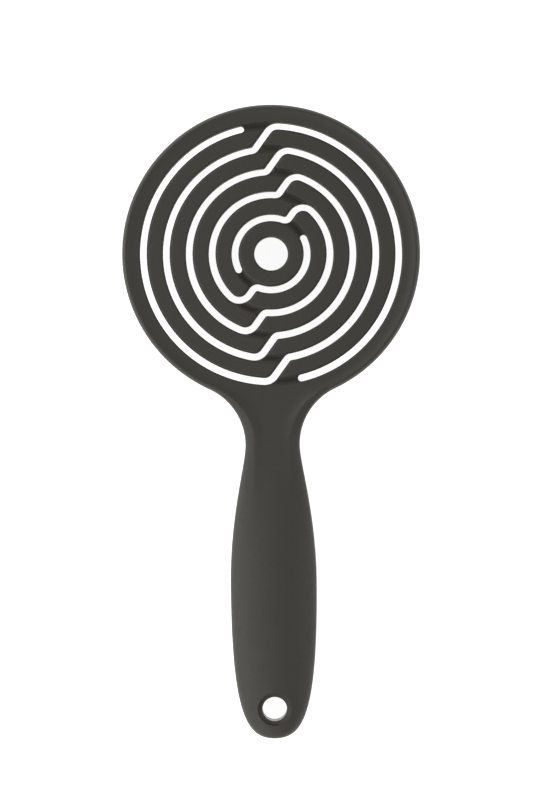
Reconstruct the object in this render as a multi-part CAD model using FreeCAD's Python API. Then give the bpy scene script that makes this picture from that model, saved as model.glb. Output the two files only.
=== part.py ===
"""Round-headed vent hair brush: a slotted disc, a necked handle and six rings of pins.

Millimetres. The brush lies pins down: X across, +Y towards the head, +Z up through the back.
The origin is on the table, under the middle of the brush's overall length.
"""
import FreeCAD, Part
import math
import os

# Overall sizes
overall_length = 201.0
head_diameter = 94.0
head_thickness = 5.2
pin_length = 12.5

# Head: raised rim, centre hole and the grooves between the rings. A groove falls gently from its
# inner side, is deepest a little outside the slot's middle and rises steeply on its outer side.
rim_edge = 1.1
rim_rise = 0.4
centre_hole_radius = 5.3
hole_edge = 0.8
groove_inner_reach = 1.9
groove_bottom_shift = 0.5
groove_outer_reach = 1.35
groove_depth = 1.8

# Two equal labyrinth slots, half a turn apart, and the rings they leave at the hub and the rim
slot_count = 5
slot_width = 2.15
hub_ring_width = 5.0
rim_ring_width = 5.6
slot_outer_end_angle = 103.3
slot_inner_end_angle = 205.6
jog_lean = 36.3
jog_outer_corner_radius = 3.9
jog_inner_corner_radius = 1.85

# How far the first jog passes the head's centre, and each next one after it, in slot pitches
jog_first_share = 0.277
jog_next_share = 0.991

# Handle, seen from above; the eases say how long each curve runs straight on before it bends
neck_width = 17.2
flare_radius = 19.4
grip_width = 27.4
grip_distance = 104.6
neck_ease = 6.4
grip_ease = 22.5
butt_ease = 43.4
butt_width = 17.2

# Handle, seen from the side: the butt thins partly from its back and otherwise from its belly
neck_thickness = 8.2
grip_thickness = 13.2
butt_thickness = 10.6
bend_start = 46.0
bend_length = 18.0
butt_back_share = 0.35

# Handle's section: rounded edge across, height of the flat side, crown of back and front.
# The neck's back is dished between its edges instead.
neck_edge = 2.9
grip_edge = 7.0
butt_edge = 4.5
neck_side = 2.8
grip_side = 1.6
butt_side = 0.8
neck_dish = 0.35
neck_front_crown = 0.2
grip_crown = 1.0
butt_crown = 0.3
widest_edge_share = 0.8

# Hanging hole
hanging_hole_radius = 3.9
hanging_hole_from_end = 9.7
hanging_mouth = 1.5

# Pins
pin_root_radius = 1.05
pin_tip_radius = 0.6
pin_pitch = 8.6
pin_side_count = 6

# How many flats stand for a rounded edge or a crown, and how many sections shape the handle
edge_flat_count = 2
crown_flat_count = 4
flare_station_count = 6
grip_station_count = 4
butt_station_count = 8
last_butt_share = 0.97
joint_margin = 0.4

# Fineness of the search for a place along the butt, and a step small enough to take a slope over
search_count = 24
slope_share = 0.01

# Places worked out from the sizes; distances run from the head's centre towards the handle
head_radius = head_diameter / 2
head_y = overall_length / 2 - head_radius
back_z = pin_length + head_thickness
butt_distance = overall_length - head_radius
slot_first_radius = centre_hole_radius + hub_ring_width + slot_width / 2
slot_last_radius = head_radius - rim_ring_width - slot_width / 2
slot_pitch = (slot_last_radius - slot_first_radius) / (slot_count - 1)
slot_radii = [slot_first_radius + slot_pitch * i for i in range(slot_count)]
flare_centre_x = neck_width / 2 + flare_radius
flare_reach = head_radius + flare_radius
neck_distance = math.sqrt(flare_reach ** 2 - flare_centre_x ** 2)
flare_angle = math.atan2(neck_distance, flare_centre_x)
joint_distance = neck_distance - flare_radius * math.sin(flare_angle) - joint_margin
hanging_distance = butt_distance - hanging_hole_from_end
half_turn = math.pi
centre = FreeCAD.Vector(0, 0, 0)
up = FreeCAD.Vector(0, 0, 1)


def vector(x, y, z=0.0):
    return FreeCAD.Vector(x, y, z)


def polar(radius, angle):
    """A point in the plane, at an angle in radians from +X."""
    return vector(radius * math.cos(angle), radius * math.sin(angle))


def ease(start, end, t):
    """From start to end with a level run at both ends, t from 0 to 1."""
    return start + (end - start) * t * t * (3 - 2 * t)


def bezier(values, t):
    """A cubic through its first and last value, drawn towards the two between."""
    a, b, c, d = values
    s = 1 - t
    return s ** 3 * a + 3 * s * s * t * b + 3 * s * t * t * c + t ** 3 * d


def bezier_slope(values, t):
    a, b, c, d = values
    s = 1 - t
    return 3 * (s * s * (b - a) + 2 * s * t * (c - b) + t * t * (d - c))


# Slots. A path is a list of steps; each gives its points from a share of the way along it and
# a shift to its right, and whether it is straight.


def arc_step(middle, radius, first, last):
    """An arc from one angle to another, anticlockwise where the last is larger."""
    side = 1 if last > first else -1

    def point(share, shift):
        return middle + polar(radius + side * shift, first + (last - first) * share)

    return point, False


def line_step(start, end):
    run = end - start
    right = vector(run.y, -run.x)
    right.normalize()

    def point(share, shift):
        return start + run * share + right * shift

    return point, True


def step_edge(step, shift):
    point, straight = step
    if straight:
        return Part.makeLine(point(0, shift), point(1, shift))
    return Part.Arc(point(0, shift), point(0.5, shift), point(1, shift)).toShape()


def jog_frame(index):
    """Across and along directions of a jog, and its distance from the head's centre."""
    lean = math.radians(jog_lean)
    across = vector(math.cos(lean), -math.sin(lean))
    along = vector(math.sin(lean), math.cos(lean))
    return across, along, slot_pitch * (jog_first_share + jog_next_share * index)


def jog(index, turn):
    """The slanted piece that takes a slot inward from circle index + 1 to circle index.

    Gives the angle where the outer circle stops, the steps between, and the angle where the
    inner circle starts. turn, in radians, says at which side of the head the jog lies.
    """
    across, along, offset = jog_frame(index)
    outer_reach = slot_radii[index + 1] - jog_outer_corner_radius
    outer_across = jog_outer_corner_radius - offset
    outer_along = math.sqrt(outer_reach ** 2 - outer_across ** 2)
    inner_reach = slot_radii[index] + jog_inner_corner_radius
    inner_across = -offset - jog_inner_corner_radius
    inner_along = math.sqrt(inner_reach ** 2 - inner_across ** 2)
    spin = FreeCAD.Rotation(up, math.degrees(turn))
    outer_middle = across * outer_across + along * outer_along
    inner_middle = across * inner_across + along * inner_along
    start = spin.multVec(across * -offset + along * outer_along)
    end = spin.multVec(across * -offset + along * inner_along)
    stop = math.atan2(outer_middle.y, outer_middle.x) + turn
    onward = math.atan2(inner_middle.y, inner_middle.x) + turn
    leave = half_turn - math.radians(jog_lean) + turn
    first_bend = arc_step(spin.multVec(outer_middle), jog_outer_corner_radius, stop, leave)
    second_bend = arc_step(spin.multVec(inner_middle), jog_inner_corner_radius,
                           leave - half_turn, onward - half_turn)
    return stop, [first_bend, line_step(start, end), second_bend], onward


def slot_path():
    """One labyrinth slot, anticlockwise from its outer end to its inner end."""
    steps = []
    angle = math.radians(slot_outer_end_angle)
    turn = 0.0
    for index in reversed(range(slot_count - 1)):
        turn += half_turn
        stop, bends, onward = jog(index, turn)
        steps.append(arc_step(centre, slot_radii[index + 1], angle, stop))
        steps.extend(bends)
        angle = onward
    steps.append(arc_step(centre, slot_radii[0], angle, math.radians(slot_inner_end_angle) + turn))
    return steps


def end_cap(step, share, before):
    """The half round that closes a slot at one end of a step."""
    point = step[0]
    half = slot_width / 2
    outward = point(share, 0) - point(before, 0)
    outward.normalize()
    return Part.Arc(point(share, half), point(share, 0) + outward * half, point(share, -half)).toShape()


def slot_cutters():
    """Both slots as prisms through the head."""
    steps = slot_path()
    edges = [step_edge(step, slot_width / 2) for step in steps]
    edges += [step_edge(step, -slot_width / 2) for step in steps]
    edges.append(end_cap(steps[0], 0, slope_share))
    edges.append(end_cap(steps[-1], 1, 1 - slope_share))
    face = Part.Face(Part.Wire(Part.__sortEdges__(edges)))
    first = face.extrude(up * back_z)
    second = first.copy()
    second.rotate(centre, up, 180)
    return [first, second]


# Head: one turned profile, flat under, with a groove over each slot


def rounded_edge(width):
    """Inset and drop of each corner of the flats that round an edge, from its face to its side."""
    angles = [math.pi / 2 * i / edge_flat_count for i in range(edge_flat_count + 1)]
    return [(width * (1 - math.sin(a)), width * (1 - math.cos(a))) for a in angles]


def groove_corners(radius):
    """Inner lip, bottom and outer lip of the groove over a slot circle."""
    return [(radius - groove_inner_reach, back_z),
            (radius + groove_bottom_shift, back_z - groove_depth),
            (radius + groove_outer_reach, back_z)]


def head_blank():
    """The head without its slots, turned from one profile; its rim stands up over the rings."""
    rim = rounded_edge(rim_edge)
    rim_z = back_z + rim_rise
    steeper = 1 + rim_rise / rim_edge
    corners = [(centre_hole_radius + inset, back_z - drop) for inset, drop in rounded_edge(hole_edge)]
    corners.append((centre_hole_radius, pin_length))
    corners += [(head_radius - inset, pin_length + drop) for inset, drop in rim]
    corners += [(head_radius - inset, rim_z - steeper * drop) for inset, drop in reversed(rim)]
    corners.append((joint_distance, back_z))
    for radius in reversed(slot_radii):
        corners += reversed(groove_corners(radius))
    points = [vector(radius, 0, z) for radius, z in corners]
    return Part.Face(Part.makePolygon(points + points[:1])).revolve(centre, up, 360)


# Handle: many-sided sections across it, joined by straight-sided flats


class Station:
    """The sizes of the handle's section at one distance from the head's centre."""

    def __init__(self, distance, half_at, thickness, edge, side, crown, front_crown, sink=0.0):
        self.distance = distance
        self.half_at = half_at
        self.thickness = thickness
        self.edge = edge
        self.side = side
        self.crown = crown
        self.front_crown = front_crown
        self.sink = sink

    def back(self, slope):
        """Height of the back's middle, with the handle running down at a slope."""
        return back_z - self.sink - slope * bend_run(self.distance)

    def front(self, slope):
        return self.back(slope) - self.thickness


def sloped_half(half_width, slope, edge):
    """Half width at an inset from the outline, for a section that crosses it at a slope."""
    stretch = min(math.sqrt(1 + slope * slope), widest_edge_share * half_width / edge)
    return lambda inset: half_width - stretch * inset


def joint_station():
    """The head's own section, where the handle takes over."""
    return Station(
        joint_distance,
        lambda inset: math.sqrt((head_radius - inset) ** 2 - joint_distance ** 2),
        head_thickness,
        rim_edge,
        head_thickness - 2 * rim_edge,
        -rim_rise,
        0)


def flare_station(t):
    """From the head's rim to the neck, along the hollow arc of the outline."""
    angle = flare_angle * (1 - t)
    half = flare_centre_x - flare_radius * math.cos(angle)
    edge = ease(rim_edge, neck_edge, t)
    return Station(
        neck_distance - flare_radius * math.sin(angle),
        sloped_half(half, math.tan(angle), edge),
        ease(head_thickness, neck_thickness, t),
        edge,
        ease(head_thickness - 2 * rim_edge, neck_side, t),
        ease(-rim_rise, -neck_dish, t),
        ease(0, neck_front_crown, t))


def grip_station(t):
    """From the neck to the widest part of the grip."""
    distances = (neck_distance, neck_distance + neck_ease, grip_distance - grip_ease, grip_distance)
    halves = (neck_width / 2, neck_width / 2, grip_width / 2, grip_width / 2)
    slope = bezier_slope(halves, t) / bezier_slope(distances, t)
    edge = ease(neck_edge, grip_edge, t)
    return Station(
        bezier(distances, t),
        sloped_half(bezier(halves, t), slope, edge),
        ease(neck_thickness, grip_thickness, t),
        edge,
        ease(neck_side, grip_side, t),
        ease(-neck_dish, grip_crown, t),
        ease(neck_front_crown, grip_crown, t))


def butt_station(t):
    """From the widest part of the grip to the rounded end."""
    distances = (grip_distance, grip_distance + butt_ease, butt_distance, butt_distance)
    halves = (grip_width / 2, grip_width / 2, butt_width / 2, 0)
    slope = bezier_slope(halves, t) / bezier_slope(distances, t)
    edge = ease(grip_edge, butt_edge, t)
    crown = bezier((grip_crown, grip_crown, butt_crown, 0), t)
    thickness = bezier((grip_thickness, grip_thickness, butt_thickness, 0), t)
    return Station(
        bezier(distances, t),
        sloped_half(bezier(halves, t), slope, edge),
        thickness,
        edge,
        bezier((grip_side, grip_side, butt_side, 0), t),
        crown,
        crown,
        butt_back_share * (grip_thickness - thickness))


def handle_stations():
    """Every section of the handle, in order from the head to the end."""
    stations = [joint_station()]
    stations += [flare_station(i / flare_station_count) for i in range(flare_station_count)]
    stations += [grip_station(i / grip_station_count) for i in range(grip_station_count)]
    stations += [butt_station(last_butt_share * i / butt_station_count)
                 for i in range(butt_station_count + 1)]
    return stations


def bend_run(distance):
    """How far the handle has run down its slope, past the bend at the neck."""
    past = distance - bend_start
    if past < 0:
        return 0.0
    if past < bend_length:
        return past * past / (2 * bend_length)
    return past - bend_length / 2


def table_slope(stations):
    """The slope at which the handle just rests on the table, with the pins on it too."""
    sloped = [s for s in stations if s.distance > neck_distance]
    return min(s.front(0) / bend_run(s.distance) for s in sloped)


def half_profile(station, height, crown):
    """Across and up from the middle line to the flat side, for the back or the front.

    height is from the section's mid-height to the middle of its crown.
    """
    flat = station.half_at(station.edge)
    wide = station.half_at(0)
    lip = height - crown
    fall = 2 * crown / flat
    corner = lip - fall * (wide - flat) - station.side / 2
    points = []
    for i in range(crown_flat_count // 2):
        across = flat * 2 * i / crown_flat_count
        points.append((across, lip + crown * (1 - (across / flat) ** 2)))
    for inset, drop in rounded_edge(1.0):
        across = station.half_at(station.edge * inset)
        points.append((across, lip - fall * (across - flat) - corner * drop))
    return points


def section(station, slope):
    """One closed section: crowned back and front, flat sides and four rounded edges."""
    y = -station.distance
    height = station.thickness / 2
    middle = station.back(slope) - height
    back = [vector(x, y, middle + z) for x, z in half_profile(station, height, station.crown)]
    front = [vector(x, y, middle - z) for x, z in half_profile(station, height, station.front_crown)]
    right = back + front[::-1]
    left = [vector(-p.x, p.y, p.z) for p in right[-2:0:-1]]
    return Part.makePolygon(right + left + right[:1])


def handle(stations, slope):
    return Part.makeLoft([section(s, slope) for s in stations], True, True)


def split_head(head):
    """The head without its end towards the handle, cut off flat at the joint."""
    far = vector(-head_radius, -head_radius, 0)
    return head.cut(Part.makeBox(head_diameter, head_radius - joint_distance, 2 * back_z, far))


def mouth_cutter(radius, mouth, depth):
    """Turned cutter that rounds a hole's edge; the edge lies at z = 0 and the cutter rises from it."""
    corners = [(0, depth), (radius + mouth, depth)]
    corners += [(radius + inset, -drop) for inset, drop in rounded_edge(mouth)]
    corners.append((0, -mouth))
    points = [vector(across, 0, z) for across, z in corners]
    return Part.Face(Part.makePolygon(points + points[:1])).revolve(centre, up, 360)


def butt_share_at(distance):
    """How far along the butt's curves a distance lies."""
    low, high = 0.0, 1.0
    for _ in range(search_count):
        share = (low + high) / 2
        if butt_station(share).distance < distance:
            low = share
        else:
            high = share
    return low


def hanging_hole_cutters(slope):
    """A straight hole through the butt, with a rounded mouth on the back and on the front."""
    share = butt_share_at(hanging_distance)
    place = butt_station(share)
    behind = butt_station(share + slope_share)
    run = behind.distance - place.distance
    high, low = place.back(slope), place.front(slope)
    back_tilt = math.degrees(math.atan2(high - behind.back(slope), run))
    front_tilt = math.degrees(math.atan2(low - behind.front(slope), run))
    y = -hanging_distance
    clear = grip_thickness
    across = vector(1, 0)
    bore = Part.makeCylinder(hanging_hole_radius, 3 * clear, vector(0, y, low - clear))
    back_mouth = mouth_cutter(hanging_hole_radius, hanging_mouth, clear)
    back_mouth.rotate(centre, across, back_tilt)
    back_mouth.translate(vector(0, y, high))
    front_mouth = mouth_cutter(hanging_hole_radius, hanging_mouth, clear)
    front_mouth.rotate(centre, across, 180 + front_tilt)
    front_mouth.translate(vector(0, y, low))
    return [bore, back_mouth, front_mouth]


def brush_body():
    """Head, neck and handle in one piece."""
    stations = handle_stations()
    slope = table_slope(stations)
    body = split_head(head_blank()).fuse(handle(stations, slope))
    body = body.cut(slot_cutters() + hanging_hole_cutters(slope))
    return body.Solids[0]


# Pins: one tapered pin, repeated round the middle of each ring


def ring_middles():
    """The middle radius of each ring's flat underside."""
    inner = [centre_hole_radius] + [r + slot_width / 2 for r in slot_radii]
    outer = [r - slot_width / 2 for r in slot_radii] + [head_radius]
    return [(a + b) / 2 for a, b in zip(inner, outer)]


def seam_angle(ring, radius):
    """Where the jogs cross a ring; the hub and the rim take their neighbour's jog."""
    index = min(max(ring - 1, 0), slot_count - 2)
    across, along, offset = jog_frame(index)
    reach = math.sqrt(radius * radius - offset * offset)
    point = across * -offset + along * reach
    return math.atan2(point.y, point.x)


def pin(foot):
    """One tapered pin of flat sides, standing down from its foot to the table."""
    angles = [2 * math.pi * i / pin_side_count for i in range(pin_side_count)]
    root = [foot + polar(pin_root_radius, a) for a in angles]
    tip = [foot + polar(pin_tip_radius, a) - up * pin_length for a in angles]
    rings = [root, tip]
    for i in range(pin_side_count):
        after = (i + 1) % pin_side_count
        rings.append([root[i], root[after], tip[after], tip[i]])
    faces = [Part.Face(Part.makePolygon(points + points[:1])) for points in rings]
    return Part.Solid(Part.Shell(faces))


def pin_ring(ring, radius):
    """The pins of one ring, spread evenly over each half between the jogs, but for the handle's root."""
    per_half = max(1, round(half_turn * radius / pin_pitch))
    step = half_turn / per_half
    start = seam_angle(ring, radius) + step / 2
    feet = [polar(radius, start + step * i) + up * pin_length for i in range(2 * per_half)]
    return Part.makeCompound([pin(foot) for foot in feet if foot.y > -joint_distance])


def main():
    os.makedirs("parts", exist_ok=True)
    pieces = {"body": brush_body()}
    for ring, radius in enumerate(ring_middles()):
        pieces["pins_ring_%d" % (ring + 1)] = pin_ring(ring, radius)
    for name, shape in pieces.items():
        shape.translate(vector(0, head_y, 0))
        shape.exportStep("parts/%s.step" % name)


main()
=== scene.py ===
"""Round-headed vent hair brush: smooth moulded body, round pins, soft-touch finish and a studio.

The outline, the slots and the sections follow the same sizes as the solids, in millimetres.
Meshes are made in millimetres and turned into metres as they are written.
"""

import math

import bpy
import numpy as np
from mathutils import Matrix, Vector
from mathutils.geometry import delaunay_2d_cdt


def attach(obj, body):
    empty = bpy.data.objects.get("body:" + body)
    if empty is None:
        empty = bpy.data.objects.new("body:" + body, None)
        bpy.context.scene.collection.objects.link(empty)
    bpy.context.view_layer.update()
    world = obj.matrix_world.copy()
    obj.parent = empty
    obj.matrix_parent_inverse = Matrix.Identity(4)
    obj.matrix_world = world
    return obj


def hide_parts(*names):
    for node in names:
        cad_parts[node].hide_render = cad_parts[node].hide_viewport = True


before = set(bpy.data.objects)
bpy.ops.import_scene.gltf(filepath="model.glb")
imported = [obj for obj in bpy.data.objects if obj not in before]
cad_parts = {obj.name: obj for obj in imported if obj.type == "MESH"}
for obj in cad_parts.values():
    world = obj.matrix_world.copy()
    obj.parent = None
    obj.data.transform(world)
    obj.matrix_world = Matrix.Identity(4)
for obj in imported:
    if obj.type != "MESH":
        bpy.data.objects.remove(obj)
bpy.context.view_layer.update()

# Head
head_radius = 47.0
head_y = 53.5
head_thickness = 5.2
pin_length = 12.5
back_z = pin_length + head_thickness
rim_edge = 1.1
rim_rise = 0.8
rim_width = 4.2
rim_power = 2.4
rim_foot = 41.7
centre_hole_radius = 5.3
hole_lip = 0.8

# Slots and the grooves along their circles
slot_pitch = 7.2375
slot_inner_radius = 11.375
slot_circles = 5
slot_radii = [slot_inner_radius + slot_pitch * i for i in range(slot_circles)]
slot_half = 1.075
slot_outer_end_angle = 103.3
slot_inner_end_angle = 205.6
slot_lip = 0.5
underside_lip = 0.5
groove_inner_reach = 1.9
groove_bottom_shift = 0.5
groove_outer_reach = 1.35
groove_depth = 1.8
jog_lean = math.radians(36.3)
jog_first_offset = 0.277 * slot_pitch
jog_pitch = 0.991 * slot_pitch
jog_outer_corner_radius = 3.9
jog_inner_corner_radius = 1.85

# Handle's outline
neck_half = 8.6
flare_radius = 19.4
grip_half = 13.7
butt_half = 8.6
grip_distance = 104.6
butt_distance = 154.0
neck_ease = 6.4
grip_ease = 22.5
butt_ease = 43.4
joint_margin = 0.4

# Handle's sections at the joint, the neck, the grip and the butt
section_sizes = {
    "thickness": (head_thickness, 8.2, 13.2, 10.6),
    "edge": (rim_edge, 2.9, 7.0, 4.5),
    "side": (3.0, 2.8, 1.6, 0.8),
    "crown": (0.0, 0.0, 1.0, 0.3),
    "front_crown": (0.0, 0.2, 1.0, 0.3),
}
neck_dish = 0.12
flare_swell = 0.4
flare_widening = 0.5
flank_slant = 0.38
flank_power = 4.0
round_power = 2.0
widest_edge_share = 0.8
limit_power = 6
crown_bend = 0.0235
bend_start = 46.0
bend_length = 18.0
butt_back_share = 0.35

# Hanging hole
hanging_hole_radius = 3.9
hanging_distance = 144.3
hanging_mouth = 1.45
hanging_recess = 1.3
hanging_power = 2.6
wall_margin = 0.15
hanging_patch = 6.6

# Pins
pin_root_radius = 1.05
pin_tip_radius = 0.6
pin_tip_height = 0.48
pin_pitch = 8.6

# How finely the meshes are divided, in millimetres, degrees and counts
slot_spacing = 0.7
least_line_steps = 2
least_arc_steps = 4
circle_turn = 1.6
corner_turn = 5.0
tight_radius = 4.0
slot_end_count = 14
hole_count = 72
rim_count = 300
crown_steps = 10
edge_steps = 10
lip_steps = 5
hole_lip_steps = 6
recess_steps = 12
recess_margin = 0.15
groove_steps = 9
groove_middle = 0.9
groove_density = 9
rim_spacing = 0.4
slot_flank_gaps = (0.62, 0.75, 0.88)
groove_clearance = 0.95
rim_clearance = 0.3
joint_clearance = 0.2
flare_rows = 25
grip_rows = 39
butt_rows = 63
butt_crowding = 1.5
pin_sides = 14
shaft_steps = 2
tip_steps = 4
merge_digits = 4
triangles_of_hull = 0
closest_points = 1e-6

millimetre = 0.001


def ease(start, end, t):
    """From start to end as t goes from 0 to 1, level at both."""
    return start + (end - start) * t * t * (3 - 2 * t)


def bezier(values, t):
    """A cubic curve's value at t, from its four control values."""
    a, b, c, d = values
    s = 1 - t
    return s ** 3 * a + 3 * s * s * t * b + 3 * s * t * t * c + t ** 3 * d


def bezier_slope(values, t):
    a, b, c, d = values
    s = 1 - t
    return 3 * (s * s * (b - a) + 2 * s * t * (c - b) + t * t * (d - c))


# Slots: the steps of each path, as arcs and lines of its middle line


def turned(point, angle):
    c, s = math.cos(angle), math.sin(angle)
    return np.array([point[0] * c - point[1] * s, point[0] * s + point[1] * c])


jog_across = np.array([math.cos(jog_lean), -math.sin(jog_lean)])
jog_along = np.array([math.sin(jog_lean), math.cos(jog_lean)])


def jog(index, turn):
    """Steps that take a slot in from circle index + 1 to circle index, and where those circles stop."""
    offset = jog_first_offset + jog_pitch * index
    outer_reach = slot_radii[index + 1] - jog_outer_corner_radius
    outer_across = jog_outer_corner_radius - offset
    outer_along = math.sqrt(outer_reach ** 2 - outer_across ** 2)
    inner_reach = slot_radii[index] + jog_inner_corner_radius
    inner_across = -offset - jog_inner_corner_radius
    inner_along = math.sqrt(inner_reach ** 2 - inner_across ** 2)
    outer_middle = jog_across * outer_across + jog_along * outer_along
    inner_middle = jog_across * inner_across + jog_along * inner_along
    start = turned(jog_across * -offset + jog_along * outer_along, turn)
    end = turned(jog_across * -offset + jog_along * inner_along, turn)
    stop = math.atan2(outer_middle[1], outer_middle[0]) + turn
    onward = math.atan2(inner_middle[1], inner_middle[0]) + turn
    leave = math.pi - jog_lean + turn
    steps = [("arc", turned(outer_middle, turn), jog_outer_corner_radius, stop, leave),
             ("line", start, end),
             ("arc", turned(inner_middle, turn), jog_inner_corner_radius,
              leave - math.pi, onward - math.pi)]
    return stop, steps, onward


def slot_steps(turned_by):
    """One slot's steps from its outer to its inner end, and those of its jogs alone."""
    centre = np.zeros(2)
    steps, jogs = [], []
    angle = math.radians(slot_outer_end_angle) + turned_by
    turn = turned_by
    for index in reversed(range(len(slot_radii) - 1)):
        turn += math.pi
        stop, bends, onward = jog(index, turn)
        steps.append(("arc", centre, slot_radii[index + 1], angle, stop))
        steps.extend(bends)
        jogs.extend(bends)
        angle = onward
    steps.append(("arc", centre, slot_radii[0], angle, math.radians(slot_inner_end_angle) + turn))
    return steps, jogs


def step_points(step, shift):
    """Points along a step, shifted to its right; the last one is left to the next step."""
    if step[0] == "line":
        start, end = step[1], step[2]
        run = end - start
        length = np.linalg.norm(run)
        right = np.array([run[1], -run[0]]) / length
        count = max(least_line_steps, int(length / slot_spacing))
        t = np.arange(count)[:, None] / count
        return start + run * t + right * shift
    middle, radius, first, last = step[1:]
    side = 1 if last > first else -1
    sweep = abs(last - first)
    point_turn = corner_turn if radius < tight_radius else circle_turn
    by_length = int(sweep * radius / slot_spacing)
    by_turn = int(math.degrees(sweep) / point_turn)
    count = max(least_arc_steps, by_length, by_turn)
    angles = first + (last - first) * np.arange(count) / count
    reach = radius + side * shift
    return middle + reach * np.stack([np.cos(angles), np.sin(angles)], 1)


def step_end(step, share, shift):
    """The point at a share of a step's length, shifted to its right."""
    if step[0] == "line":
        run = step[2] - step[1]
        right = np.array([run[1], -run[0]]) / np.linalg.norm(run)
        return step[1] + run * share + right * shift
    middle, radius, first, last = step[1:]
    side = 1 if last > first else -1
    angle = first + (last - first) * share
    return middle + (radius + side * shift) * np.array([math.cos(angle), math.sin(angle)])


def cap_points(step, share, shift, forward):
    """Half round at one end of a slot, from its right to its left when forward."""
    middle = step_end(step, share, 0)
    right = step_end(step, share, 1) - middle
    ahead = np.array([-right[1], right[0]])
    if not forward:
        right, ahead = -right, -ahead
    angles = np.linspace(0, math.pi, slot_end_count, endpoint=False)[:, None]
    return middle + shift * (np.cos(angles) * right + np.sin(angles) * ahead)


def slot_loop(steps, shift):
    """Closed loop of points at a distance from a slot's middle line."""
    down = [step_points(s, shift) for s in steps]
    end = cap_points(steps[-1], 1, shift, True)
    back = []
    for step in reversed(steps):
        points = step_points(step, -shift)
        last = step_end(step, 1, -shift)[None]
        back.append(np.concatenate([points, last])[::-1][:-1])
    start = cap_points(steps[0], 0, shift, False)
    return np.concatenate(down + [end] + back + [start])


def distance_to(points, steps):
    """Distance of each point from the nearest of the steps."""
    nearest = np.full(len(points), np.inf)
    for step in steps:
        if step[0] == "line":
            run = step[2] - step[1]
            t = np.clip((points - step[1]) @ run / (run @ run), 0, 1)
            away = np.linalg.norm(points - step[1] - t[:, None] * run, axis=1)
        else:
            middle, radius, first, last = step[1:]
            low, high = min(first, last), max(first, last)
            offset = points - middle
            angle = np.arctan2(offset[:, 1], offset[:, 0])
            past = np.mod(angle - low, 2 * math.pi)
            inside = past <= high - low
            away = np.abs(np.linalg.norm(offset, axis=1) - radius)
            ends = [middle + radius * np.array([math.cos(a), math.sin(a)]) for a in (low, high)]
            to_ends = np.minimum(np.linalg.norm(points - ends[0], axis=1),
                                 np.linalg.norm(points - ends[1], axis=1))
            away = np.where(inside, away, to_ends)
        nearest = np.minimum(nearest, away)
    return nearest


slots = [slot_steps(0.0), slot_steps(math.pi)]
all_steps = slots[0][0] + slots[1][0]
jog_steps = slots[0][1] + slots[1][1]


def slot_gap(points):
    """Distance from the walls of the slots."""
    return distance_to(points, all_steps) - slot_half


def lip_drop(gap, lip):
    """How far a rounded lip has dropped at a distance from its wall."""
    t = np.clip(1 - gap / lip, 0, 1)
    return lip * (1 - np.sqrt(1 - t * t))


def groove_drop(points):
    """Depth of the grooves over the slot circles and along the jogs."""
    reach = np.linalg.norm(points, axis=1)
    bottom = groove_inner_reach + groove_bottom_shift
    steep = groove_outer_reach - groove_bottom_shift
    shares = [1 - (distance_to(points, jog_steps) + groove_bottom_shift) / bottom]
    for radius in slot_radii:
        outward = reach - radius - groove_bottom_shift
        shares.append(np.where(outward < 0, 1 + outward / bottom, 1 - outward / steep))
    share = np.clip(np.max(shares, axis=0), 0, 1)
    return ease(0, groove_depth, share)


def rim_lift(points):
    """How far the back rises towards the rim, at each point."""
    share = np.clip((np.linalg.norm(points, axis=-1) - rim_foot) / rim_width, 0, 1)
    return rim_rise * share ** rim_power


def rim_turn(angles):
    """Share of the rim's flank that the back has dropped, at each angle from the crest to the outline."""
    return flank_slant * np.sin(angles) + (1 - flank_slant) * (1 - np.cos(angles))


def back_drop(points):
    """How far the head's back lies under its flat, at each point."""
    hole = np.linalg.norm(points, axis=1) - centre_hole_radius
    drop = groove_drop(points) + lip_drop(slot_gap(points), slot_lip)
    return drop + lip_drop(hole, hole_lip) - rim_lift(points)


def underside_drop(points):
    hole = np.linalg.norm(points, axis=1) - centre_hole_radius
    return lip_drop(slot_gap(points), underside_lip) + lip_drop(hole, underside_lip)


# Handle's sections in a dense table

flare_centre_x = neck_half + flare_radius
flare_reach = head_radius + flare_radius
neck_distance = math.sqrt(flare_reach ** 2 - flare_centre_x ** 2)
flare_angle = math.atan2(neck_distance, flare_centre_x)
joint_distance = neck_distance - flare_radius * math.sin(flare_angle) - joint_margin


def hump(t):
    """Rises from 0 to 1 halfway and falls back to 0."""
    return 4 * t * (1 - t)


def flare_table():
    """Sizes of the sections from the joint to the neck."""
    t = np.linspace(0, 1, flare_rows, endpoint=False)
    angle = flare_angle * (1 - t)
    rows = {name: ease(values[0], values[1], t) for name, values in section_sizes.items()}
    rows["edge"] = rows["edge"] + flare_widening * hump(t)
    rows["distance"] = neck_distance - flare_radius * np.sin(angle)
    rows["half"] = flare_centre_x - flare_radius * np.cos(angle)
    rows["slope"] = np.tan(angle)
    rows["dish"] = ease(rim_rise, neck_dish, t) + flare_swell * hump(t)
    rows["slant"] = np.full(flare_rows, flank_slant)
    rows["power"] = ease(round_power, flank_power, np.minimum(2 * t, 1))
    return rows


def grip_table():
    """Sizes of the sections from the neck to the grip's widest place."""
    t = np.linspace(0, 1, grip_rows, endpoint=False)
    distances = (neck_distance, neck_distance + neck_ease, grip_distance - grip_ease, grip_distance)
    halves = (neck_half, neck_half, grip_half, grip_half)
    rows = {name: ease(values[1], values[2], t) for name, values in section_sizes.items()}
    rows["distance"] = bezier(distances, t)
    rows["half"] = bezier(halves, t)
    rows["slope"] = bezier_slope(halves, t) / bezier_slope(distances, t)
    rows["dish"] = ease(neck_dish, 0, t)
    rows["slant"] = ease(flank_slant, 0, t)
    rows["power"] = ease(flank_power, round_power, t)
    return rows


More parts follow.
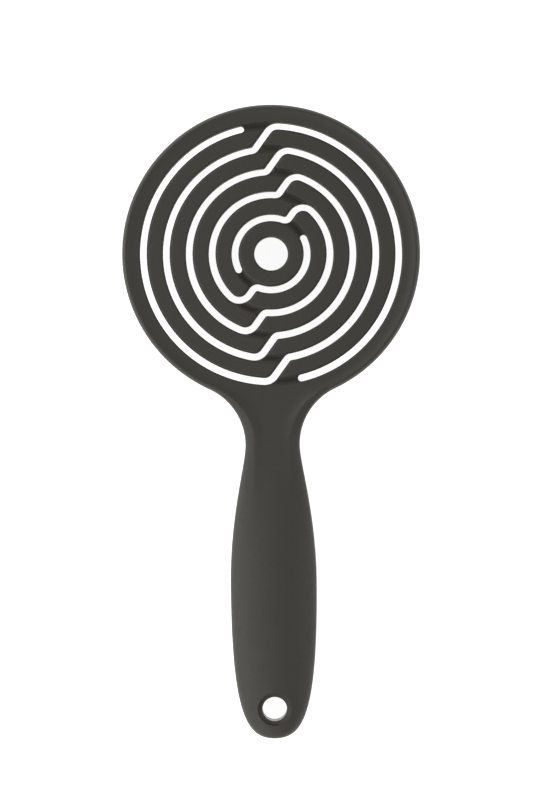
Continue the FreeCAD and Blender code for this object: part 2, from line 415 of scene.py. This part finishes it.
def butt_table():
    """Sizes of the sections from the grip's widest place to the end, where they crowd together."""
    t = 1 - (1 - np.linspace(0, 1, butt_rows, endpoint=False)) ** butt_crowding
    distances = (grip_distance, grip_distance + butt_ease, butt_distance, butt_distance)
    halves = (grip_half, grip_half, butt_half, 0)
    rows = {}
    for name, values in section_sizes.items():
        rows[name] = bezier((values[2], values[2], values[3], 0), t)
    rows["edge"] = ease(section_sizes["edge"][2], section_sizes["edge"][3], t)
    rows["distance"] = bezier(distances, t)
    rows["half"] = bezier(halves, t)
    rows["slope"] = bezier_slope(halves, t) / bezier_slope(distances, t)
    rows["dish"] = np.zeros(butt_rows)
    rows["slant"] = np.zeros(butt_rows)
    rows["power"] = np.full(butt_rows, round_power)
    return rows


def handle_table():
    """Every size of the handle's sections, one row a section, from the joint to the end."""
    parts = [flare_table(), grip_table(), butt_table()]
    return {name: np.concatenate([rows[name] for rows in parts]) for name in parts[0]}


table = handle_table()


def bend_run(distance):
    """Length that, times the slope of the bent handle, gives its drop at a distance."""
    past = np.maximum(distance - bend_start, 0)
    return np.where(past < bend_length, past * past / (2 * bend_length), past - bend_length / 2)


past_neck = table["distance"] > neck_distance
past_grip = table["distance"] > grip_distance
thinner = section_sizes["thickness"][2] - table["thickness"]
table["back"] = back_z - np.where(past_grip, butt_back_share * thinner, 0)
level_front = table["back"] - table["thickness"]
table_slope = np.min(level_front[past_neck] / bend_run(table["distance"][past_neck]))
table["middle"] = table["back"] - table_slope * bend_run(table["distance"]) - table["thickness"] / 2
steepness = np.sqrt(1 + table["slope"] ** 2)
widest = widest_edge_share * table["half"] / table["edge"]
table["stretch"] = (steepness ** -limit_power + widest ** -limit_power) ** (-1 / limit_power)
table["flat"] = table["half"] - table["stretch"] * table["edge"]
table["crown"] = np.minimum(table["crown"], crown_bend * table["flat"] ** 2)


def skin_height(across, row, crown_name):
    """Height of the back or the front over the section's middle, at a distance from the middle line."""
    is_back = crown_name == "crown"
    crown = row[crown_name]
    dish = row["dish"] if is_back else 0
    slant = row["slant"] if is_back else 0
    power = row["power"] if is_back else round_power
    edge = row["half"] - row["flat"]
    lip = row["thickness"] / 2 - crown + dish
    fall = 2 * crown / row["flat"]
    corner = lip - fall * edge - row["side"] / 2
    share = np.clip((across - row["flat"]) / edge, 0, 1)
    climb = np.clip(1 - (row["flat"] - across) / (rim_width * row["stretch"]), 0, 1)
    crowned = lip + crown * (1 - (across / row["flat"]) ** 2) - dish * (1 - climb ** rim_power)
    turn = slant * share + (1 - slant) * (1 - (1 - share ** power) ** (1 / power))
    rounded = lip - fall * (across - row["flat"]) - corner * turn
    return np.where(across < row["flat"], crowned, rounded)


def row_at(distance):
    """The handle's sizes at each distance, between the table's rows."""
    return {name: np.interp(distance, table["distance"], values) for name, values in table.items()}


# Meshes as lists of points and faces


class Skin:
    """A mesh in the making."""

    def __init__(self):
        self.points = []
        self.faces = []
        self.count = 0

    def add(self, points):
        """Adds points and gives their numbers."""
        points = np.asarray(points, float)
        self.points.append(points)
        first = self.count
        self.count += len(points)
        return np.arange(first, self.count)

    def strip(self, one, two, closed=False):
        """Quads between two rows of point numbers."""
        pairs = len(one) if closed else len(one) - 1
        for i in range(pairs):
            j = (i + 1) % len(one)
            self.faces.append((one[i], one[j], two[j], two[i]))

    def write(self, name):
        """The mesh as an object, with points that coincide made one."""
        points = np.concatenate(self.points)
        keys = np.round(points, merge_digits)
        _, firsts, back = np.unique(keys, axis=0, return_index=True, return_inverse=True)
        back = back.ravel()
        faces = []
        for face in self.faces:
            corners = []
            for corner in (int(back[i]) for i in face):
                if corner not in corners:
                    corners.append(corner)
            if len(corners) > 2:
                faces.append(corners)
        mesh = bpy.data.meshes.new(name)
        mesh.from_pydata((points[firsts] * millimetre).tolist(), [], faces)
        mesh.validate()
        mesh.shade_smooth()
        made = bpy.data.objects.new(name, mesh)
        bpy.context.scene.collection.objects.link(made)
        return made


def fill(skin, outer, holes, loose, height, upward):
    """Triangles between an outer loop and holes, through loose points, at a height over each point."""
    loops = [outer] + holes
    flat = np.concatenate(loops + [loose])
    ends = np.cumsum([len(loop) for loop in loops])
    spans = [list(range(end - len(loop), end)) for loop, end in zip(loops, ends)]
    found = delaunay_2d_cdt([Vector(p) for p in flat], [], spans, triangles_of_hull, closest_points, True)
    spots, triangles, origins, covers = found[0], found[2], found[3], found[5]
    spots = np.array([(p.x, p.y) for p in spots])
    place = {}
    for number, origin in enumerate(origins):
        for i in origin:
            spots[number] = flat[i]
            place[i] = number
    numbers = skin.add(np.column_stack([spots, height(spots)]))
    for triangle, cover in zip(triangles, covers):
        if list(cover) == [0]:
            ring = triangle if upward else triangle[::-1]
            skin.faces.append(tuple(numbers[i] for i in ring))
    return [numbers[[place[i] for i in span]] for span in spans]


def circle(radius, count):
    """Points round a circle about the origin."""
    angles = 2 * math.pi * np.arange(count) / count
    return radius * np.stack([np.cos(angles), np.sin(angles)], 1)


def lip_gaps(lip, count):
    """Distances from a wall that follow its rounded lip evenly."""
    angles = np.linspace(0, math.pi / 2, count + 1)[1:]
    return lip * (1 - np.cos(angles))


# Body: head

edge_angles = np.linspace(0, math.pi / 2, edge_steps + 1)
edge_insets = rim_edge * (1 - np.sin(edge_angles))
edge_drops = rim_edge * (1 - np.cos(edge_angles))
crest_drops = (rim_edge + rim_rise) * rim_turn(edge_angles)
crown_shares = np.linspace(0, 1, crown_steps + 1)


def groove_points(gaps):
    """Points over the grooves' circles and the foot of the rim."""
    middle = np.linspace(-groove_middle, groove_middle, groove_steps)
    across = np.concatenate([-gaps[::-1] - slot_half, middle, gaps + slot_half])
    rings = [circle(radius + a, int(radius * groove_density)) for radius in slot_radii for a in across]
    rings += [circle(rim_foot + a, rim_count) for a in np.arange(0, rim_width, rim_spacing)]
    return np.concatenate(rings)


def loose_points(gaps, hole_gaps, with_grooves):
    """Points that carry the shape of the lips and grooves, clear of every wall."""
    found = [slot_loop(steps, slot_half + gap) for steps, _ in slots for gap in gaps]
    found += [circle(centre_hole_radius + gap, hole_count) for gap in hole_gaps]
    if with_grooves:
        grooves = groove_points(gaps)
        found.append(grooves[slot_gap(grooves) > groove_clearance])
    points = np.concatenate(found)
    clear = slot_gap(points) > gaps[0] / 2
    clear &= np.linalg.norm(points, axis=1) < head_radius - rim_edge - rim_clearance
    clear &= points[:, 1] > -joint_distance + joint_clearance
    return points[clear]


def rim_row(inset):
    """The rim's arc at an inset, from the joint's right end round to its left end."""
    radius = head_radius - inset
    reach = math.asin(joint_distance / radius)
    angles = np.linspace(-reach, math.pi + reach, rim_count)
    return radius * np.stack([np.cos(angles), np.sin(angles)], 1)


def level(flat, z):
    """Flat points put at one height."""
    return np.column_stack([flat, np.full(len(flat), z)])


def add_rim(skin):
    rows = []
    for inset, drop in zip(edge_insets, crest_drops):
        rows.append(skin.add(level(rim_row(inset), back_z + rim_rise - drop)))
    for inset, drop in zip(edge_insets[::-1], edge_drops[::-1]):
        rows.append(skin.add(level(rim_row(inset), pin_length + drop)))
    for one, two in zip(rows, rows[1:]):
        skin.strip(two, one)


def head_outline():
    """The loop that the head's back and underside share: the rim's inner arc and the joint's chord."""
    flat_half = math.sqrt((head_radius - rim_edge) ** 2 - joint_distance ** 2)
    inward = np.linspace(1, 0, crown_steps + 1)
    chord_x = -flat_half * np.concatenate([inward, -crown_shares[1:]])[1:-1]
    chord = np.column_stack([chord_x, np.full(len(chord_x), -joint_distance)])
    return np.concatenate([rim_row(rim_edge), chord])


def add_head(skin):
    add_rim(skin)
    outline = head_outline()
    walls = [slot_loop(steps, slot_half) for steps, _ in slots] + [circle(centre_hole_radius, hole_count)]
    gaps = np.concatenate([lip_gaps(slot_lip, lip_steps), slot_flank_gaps])
    loose = loose_points(gaps, lip_gaps(hole_lip, hole_lip_steps), True)
    back = fill(skin, outline, walls, loose, lambda p: back_z - back_drop(p), True)
    gaps = lip_gaps(underside_lip, lip_steps)
    loose = loose_points(gaps, gaps, False)
    under = fill(skin, outline, walls, loose, lambda p: pin_length + underside_drop(p), False)
    for one, two in zip(back[1:], under[1:]):
        skin.strip(one, two, True)


# Body: handle


def joint_halves():
    """The right half of the section where the handle meets the head: its back and its front."""
    corner_x = np.sqrt((head_radius - edge_insets) ** 2 - joint_distance ** 2)
    crown_x = corner_x[0] * crown_shares[:-1]
    x = np.concatenate([crown_x, corner_x])
    level_z = np.full(crown_steps, head_thickness / 2)
    lift = rim_lift(np.column_stack([crown_x, np.full(crown_steps, joint_distance)]))
    above = np.concatenate([level_z + lift, head_thickness / 2 + rim_rise - crest_drops])
    below = np.concatenate([level_z, head_thickness / 2 - edge_drops])
    return np.column_stack([x, above]), np.column_stack([x, below])


def handle_halves(row):
    """The right half of one of the handle's sections: its back and its front."""
    crown_x = row["flat"] * crown_shares[:-1]
    corner_x = row["half"] - (row["half"] - row["flat"]) * (1 - np.sin(edge_angles))
    x = np.concatenate([crown_x, corner_x])
    back = np.column_stack([x, skin_height(x, row, "crown")])
    front = np.column_stack([x, skin_height(x, row, "front_crown")])
    return back, front


def section_row(halves, middle, distance):
    """One closed section, from the middle of the back round by the right."""
    back, front = halves
    right = np.concatenate([back, (front * (1, -1))[::-1]])
    left = (right * (-1, 1))[1:-1][::-1]
    ring = np.concatenate([right, left])
    return np.column_stack([ring[:, 0], np.full(len(ring), -distance), middle + ring[:, 1]])


def hanging_circle(gap):
    """A circle about the hanging hole, at a distance from its wall."""
    return circle(hanging_hole_radius + gap, hole_count) + (0, -hanging_distance)


def mouth_drop(points):
    """How deep the sunk ring round the hanging hole is, at each point."""
    away = np.linalg.norm(points - (0, -hanging_distance), axis=1) - hanging_hole_radius
    return hanging_recess * (1 - np.clip(away / hanging_mouth, 0, 1) ** hanging_power)


def back_height(points):
    row = row_at(-points[:, 1])
    return row["middle"] + skin_height(np.abs(points[:, 0]), row, "crown") - mouth_drop(points)


def front_height(points):
    row = row_at(-points[:, 1])
    return row["middle"] - skin_height(np.abs(points[:, 0]), row, "front_crown") + mouth_drop(points)


def add_handle(skin):
    rings = [skin.add(section_row(joint_halves(), back_z - head_thickness / 2, joint_distance))]
    for i in range(len(table["distance"])):
        row = {name: values[i] for name, values in table.items()}
        rings.append(skin.add(section_row(handle_halves(row), row["middle"], row["distance"])))
    points = np.concatenate(skin.points)
    tip = skin.add([(0, -butt_distance, float(table["middle"][-1]))])[0]
    patches = {"back": [], "front": []}
    for one, two in zip(rings, rings[1:]):
        for face in zip(one, two, np.roll(two, -1), np.roll(one, -1)):
            corners = points[list(face)]
            away = np.linalg.norm(corners[:, :2] - (0, -hanging_distance), axis=1).min()
            if away > hanging_patch:
                skin.faces.append(face)
            elif corners[:, 2].mean() > row_at(-corners[:, 1].mean())["middle"]:
                patches["back"].append(face)
            else:
                patches["front"].append(face)
    for a, b in zip(rings[-1], np.roll(rings[-1], -1)):
        skin.faces.append((a, tip, b))
    back_loop = points[border(patches["back"])][:, :2]
    front_loop = points[border(patches["front"])][::-1, :2]
    add_hanging_hole(skin, back_loop, front_loop)


def add_hanging_hole(skin, back_loop, front_loop):
    """The back and the front round the hanging hole, inside two loops, and the hole's wall."""
    wall = hanging_circle(0)
    gaps = np.append(np.linspace(0, hanging_mouth, recess_steps + 1)[1:],
                     hanging_mouth + recess_margin)
    loose = np.concatenate([hanging_circle(gap) for gap in gaps])
    top = fill(skin, back_loop, [wall], loose, back_height, True)[1]
    bottom = fill(skin, front_loop, [wall], loose, front_height, False)[1]
    under_top = skin.add(np.column_stack([wall, back_height(wall) - wall_margin]))
    over_bottom = skin.add(np.column_stack([wall, front_height(wall) + wall_margin]))
    for one, two in ((top, under_top), (under_top, over_bottom), (over_bottom, bottom)):
        skin.strip(one, two, True)


def border(faces):
    """The loop of point numbers round a patch of faces, in the faces' own direction."""
    sides = [side for face in faces for side in zip(face, face[1:] + face[:1])]
    both = set(sides)
    onward = {a: b for a, b in sides if (b, a) not in both}
    start = next(iter(onward))
    loop = [start]
    while onward[loop[-1]] != start:
        loop.append(onward[loop[-1]])
    return np.array(loop)


def make_body():
    skin = Skin()
    add_head(skin)
    add_handle(skin)
    skin.points = [p + (0, head_y, 0) for p in skin.points]
    return skin.write("body_moulding")


# Pins


def ring_middles():
    """Radius of the middle of each ring, from the hub to the rim."""
    inner = [centre_hole_radius] + [r + slot_half for r in slot_radii]
    outer = [r - slot_half for r in slot_radii] + [head_radius]
    return [(a + b) / 2 for a, b in zip(inner, outer)]


def seam_angle(ring, radius):
    """Where the middle line of the nearest jog crosses a ring."""
    index = min(max(ring - 1, 0), len(slot_radii) - 2)
    offset = jog_first_offset + jog_pitch * index
    point = jog_across * -offset + jog_along * math.sqrt(radius * radius - offset * offset)
    return math.atan2(point[1], point[0])


def add_pin(skin, x, y):
    """One round pin that tapers from its foot to a rounded tip on the table."""
    profile = [(pin_root_radius, pin_length)]
    for share in np.linspace(0, 1, shaft_steps + 1)[1:]:
        radius = pin_root_radius + (pin_tip_radius - pin_root_radius) * share
        profile.append((radius, pin_length + (pin_tip_height - pin_length) * share))
    for angle in np.linspace(0, math.pi / 2, tip_steps + 1)[1:-1]:
        profile.append((pin_tip_radius * math.cos(angle), pin_tip_height * (1 - math.sin(angle))))
    rings = [skin.add(level(circle(radius, pin_sides) + (x, y), z)) for radius, z in profile]
    for one, two in zip(rings, rings[1:]):
        skin.strip(two, one, True)
    tip = skin.add([(x, y, 0)])[0]
    for a, b in zip(rings[-1], np.roll(rings[-1], -1)):
        skin.faces.append((a, tip, b))
    skin.faces.append(tuple(rings[0]))


def make_pins(ring, radius):
    """The pins of one ring, but for those over the handle's root."""
    skin = Skin()
    per_half = max(1, round(math.pi * radius / pin_pitch))
    step = math.pi / per_half
    start = seam_angle(ring, radius) + step / 2
    for i in range(2 * per_half):
        x = radius * math.cos(start + step * i)
        y = radius * math.sin(start + step * i)
        if y > -joint_distance:
            add_pin(skin, x, y + head_y)
    return skin.write("pins_round_%d" % (ring + 1))


# Materials

cool_charcoal = (0.0302, 0.0317, 0.0240)
warm_charcoal = (0.0368, 0.0314, 0.0245)
bore_roughness = 0.26
bore_margin = 0.05
grain_height = 0.04 * millimetre
floor_glow = 0.9


def new_material(name, base, roughness):
    """A plain material, with its node tree and its shader."""
    made = bpy.data.materials.new(name)
    made.use_nodes = True
    shader = made.node_tree.nodes["Principled BSDF"]
    shader.inputs["Base Color"].default_value = (*base, 1)
    shader.inputs["Roughness"].default_value = roughness
    return made, made.node_tree, shader


def add_node(tree, kind, values, wires, **settings):
    """A node with values on some of its inputs and other nodes' outputs wired to some."""
    node = tree.nodes.new(kind)
    for name, value in settings.items():
        setattr(node, name, value)
    for name, value in values.items():
        node.inputs[name].default_value = value
    for name, output in wires.items():
        tree.links.new(output, node.inputs[name])
    return node


def noise(tree, scale, detail):
    """Noise over the object's own coordinates."""
    coordinates = tree.nodes.new("ShaderNodeTexCoord")
    texture = add_node(tree, "ShaderNodeTexNoise", {"Scale": scale, "Detail": detail},
                       {"Vector": coordinates.outputs["Object"]})
    return texture.outputs["Fac"]


def ranged(tree, value, low, high):
    """The middle half of a noise, stretched from a low to a high value."""
    limits = {"From Min": 0.25, "From Max": 0.75, "To Min": low, "To Max": high}
    return add_node(tree, "ShaderNodeMapRange", limits, {"Value": value}).outputs["Result"]


def outside_bore(tree):
    """1 on the coating at large and 0 on the wall of the hanging hole, which is smoother."""
    coordinates = tree.nodes.new("ShaderNodeTexCoord")
    flat = add_node(tree, "ShaderNodeVectorMath", {1: (1, 1, 0)},
                    {0: coordinates.outputs["Object"]}, operation="MULTIPLY")
    middle = (0, (head_y - hanging_distance) * millimetre, 0)
    away = add_node(tree, "ShaderNodeVectorMath", {1: middle},
                    {0: flat.outputs["Vector"]}, operation="DISTANCE")
    wall = (hanging_hole_radius + bore_margin) * millimetre
    outside = add_node(tree, "ShaderNodeMath", {1: wall},
                       {0: away.outputs["Value"]}, operation="GREATER_THAN")
    return outside.outputs[0]


def soft_touch():
    """Dark charcoal soft-touch coating: matt, faintly velvety, with a fine grain."""
    made, tree, shader = new_material("soft_touch_coating", (0.032, 0.033, 0.029), 0.55)
    mix = add_node(tree, "ShaderNodeMix", {"A": (*cool_charcoal, 1), "B": (*warm_charcoal, 1)},
                   {"Factor": noise(tree, scale=35, detail=3)}, data_type="RGBA")
    tree.links.new(mix.outputs["Result"], shader.inputs["Base Color"])
    coating = ranged(tree, noise(tree, scale=900, detail=2), low=0.5, high=0.62)
    rough = add_node(tree, "ShaderNodeMix", {"A": bore_roughness},
                     {"Factor": outside_bore(tree), "B": coating})
    tree.links.new(rough.outputs["Result"], shader.inputs["Roughness"])
    shader.inputs["Sheen Weight"].default_value = 0.2
    shader.inputs["Sheen Roughness"].default_value = 0.45
    shader.inputs["Sheen Tint"].default_value = (1.0, 0.84, 0.66, 1)
    bump = add_node(tree, "ShaderNodeBump", {"Strength": 0.25, "Distance": grain_height},
                    {"Height": noise(tree, scale=6000, detail=2)})
    tree.links.new(bump.outputs["Normal"], shader.inputs["Normal"])
    return made


def nylon():
    """Black satin nylon of the pins."""
    made, tree, shader = new_material("pin_nylon", (0.02, 0.02, 0.019), 0.35)
    satin = ranged(tree, noise(tree, scale=1500, detail=2), low=0.3, high=0.42)
    tree.links.new(satin, shader.inputs["Roughness"])
    return made


def floor_white():
    """White floor that shows plain white to the camera and in gloss, with a faint shadow."""
    made, tree, shader = new_material("floor_white", (0.8, 0.8, 0.8), 0.8)
    shader.inputs["Specular IOR Level"].default_value = 0.0
    path = tree.nodes.new("ShaderNodeLightPath")
    seen = path.outputs["Is Camera Ray"]
    for ray in ("Is Glossy Ray", "Is Transmission Ray"):
        seen = add_node(tree, "ShaderNodeMath", {}, {0: seen, 1: path.outputs[ray]},
                        operation="MAXIMUM").outputs[0]
    glow = add_node(tree, "ShaderNodeEmission", {"Strength": floor_glow}, {})
    none = add_node(tree, "ShaderNodeEmission", {"Strength": 0.0}, {})
    pick = add_node(tree, "ShaderNodeMixShader", {},
                    {"Fac": seen, 1: none.outputs[0], 2: glow.outputs[0]})
    total = add_node(tree, "ShaderNodeAddShader", {}, {0: pick.outputs[0], 1: shader.outputs[0]})
    tree.links.new(total.outputs[0], tree.nodes["Material Output"].inputs["Surface"])
    return made


# Pieces

body = make_body()
body.data.materials.append(soft_touch())
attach(body, "root")
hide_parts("body")

pin_material = nylon()
for number, middle in enumerate(ring_middles()):
    pins = make_pins(number, middle)
    pins.data.materials.append(pin_material)
    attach(pins, "root")
    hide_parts("pins_ring_%d" % (number + 1))

# Studio, in metres

floor_reach = 4.0
light_size = 0.9
# Name, place and power of each light
lights = (
    ("key_light", (-0.8, 0.8, 0.8), 6.5),
    ("side_light", (-1.15, 0.0, 0.5), 4.9),
    ("fill_light", (1.1, 0.15, 0.7), 4.1),
    ("near_light", (-0.3, -0.55, 0.5), 2.6),
)


def make_floor():
    """A square floor that the brush lies on."""
    signs = ((-1, -1), (1, -1), (1, 1), (-1, 1))
    mesh = bpy.data.meshes.new("floor")
    mesh.from_pydata([(x * floor_reach, y * floor_reach, 0) for x, y in signs], [], [(0, 1, 2, 3)])
    made = bpy.data.objects.new("floor", mesh)
    made.data.materials.append(floor_white())
    bpy.context.scene.collection.objects.link(made)
    return made


make_floor()


def area_light(name, place, power):
    """A round light that faces the origin."""
    light = bpy.data.lights.new(name, "AREA")
    light.shape = "DISK"
    light.size = light_size
    light.energy = power
    made = bpy.data.objects.new(name, light)
    bpy.context.scene.collection.objects.link(made)
    made.location = place
    made.rotation_mode = "QUATERNION"
    made.rotation_quaternion = (Vector() - Vector(place)).to_track_quat("-Z", "Y")


for light_name, light_place, light_power in lights:
    area_light(light_name, light_place, light_power)

world = bpy.data.worlds.new("studio")
world.use_nodes = True
background = world.node_tree.nodes["Background"]
background.inputs["Color"].default_value = (1, 1, 1, 1)
background.inputs["Strength"].default_value = 0.3
bpy.context.scene.world = world

# Camera: straight over the back, rolled a little as the photograph is
camera_distance = 900.0
view_height = 251.9
view_x = -0.4
view_y = 7.38
view_roll = -0.47
sensor_size = 36.0

lens = bpy.data.cameras.new("camera")
lens.sensor_width = sensor_size
lens.lens = sensor_size * camera_distance / view_height
lens.clip_end = 20
camera = bpy.data.objects.new("camera", lens)
bpy.context.scene.collection.objects.link(camera)
camera.location = (view_x * millimetre, view_y * millimetre, (back_z + camera_distance) * millimetre)
camera.rotation_mode = "QUATERNION"
camera.rotation_quaternion = Matrix.Rotation(math.radians(view_roll), 3, "Z").to_quaternion()
bpy.context.scene.camera = camera
bpy.context.scene.view_settings.view_transform = "Standard"
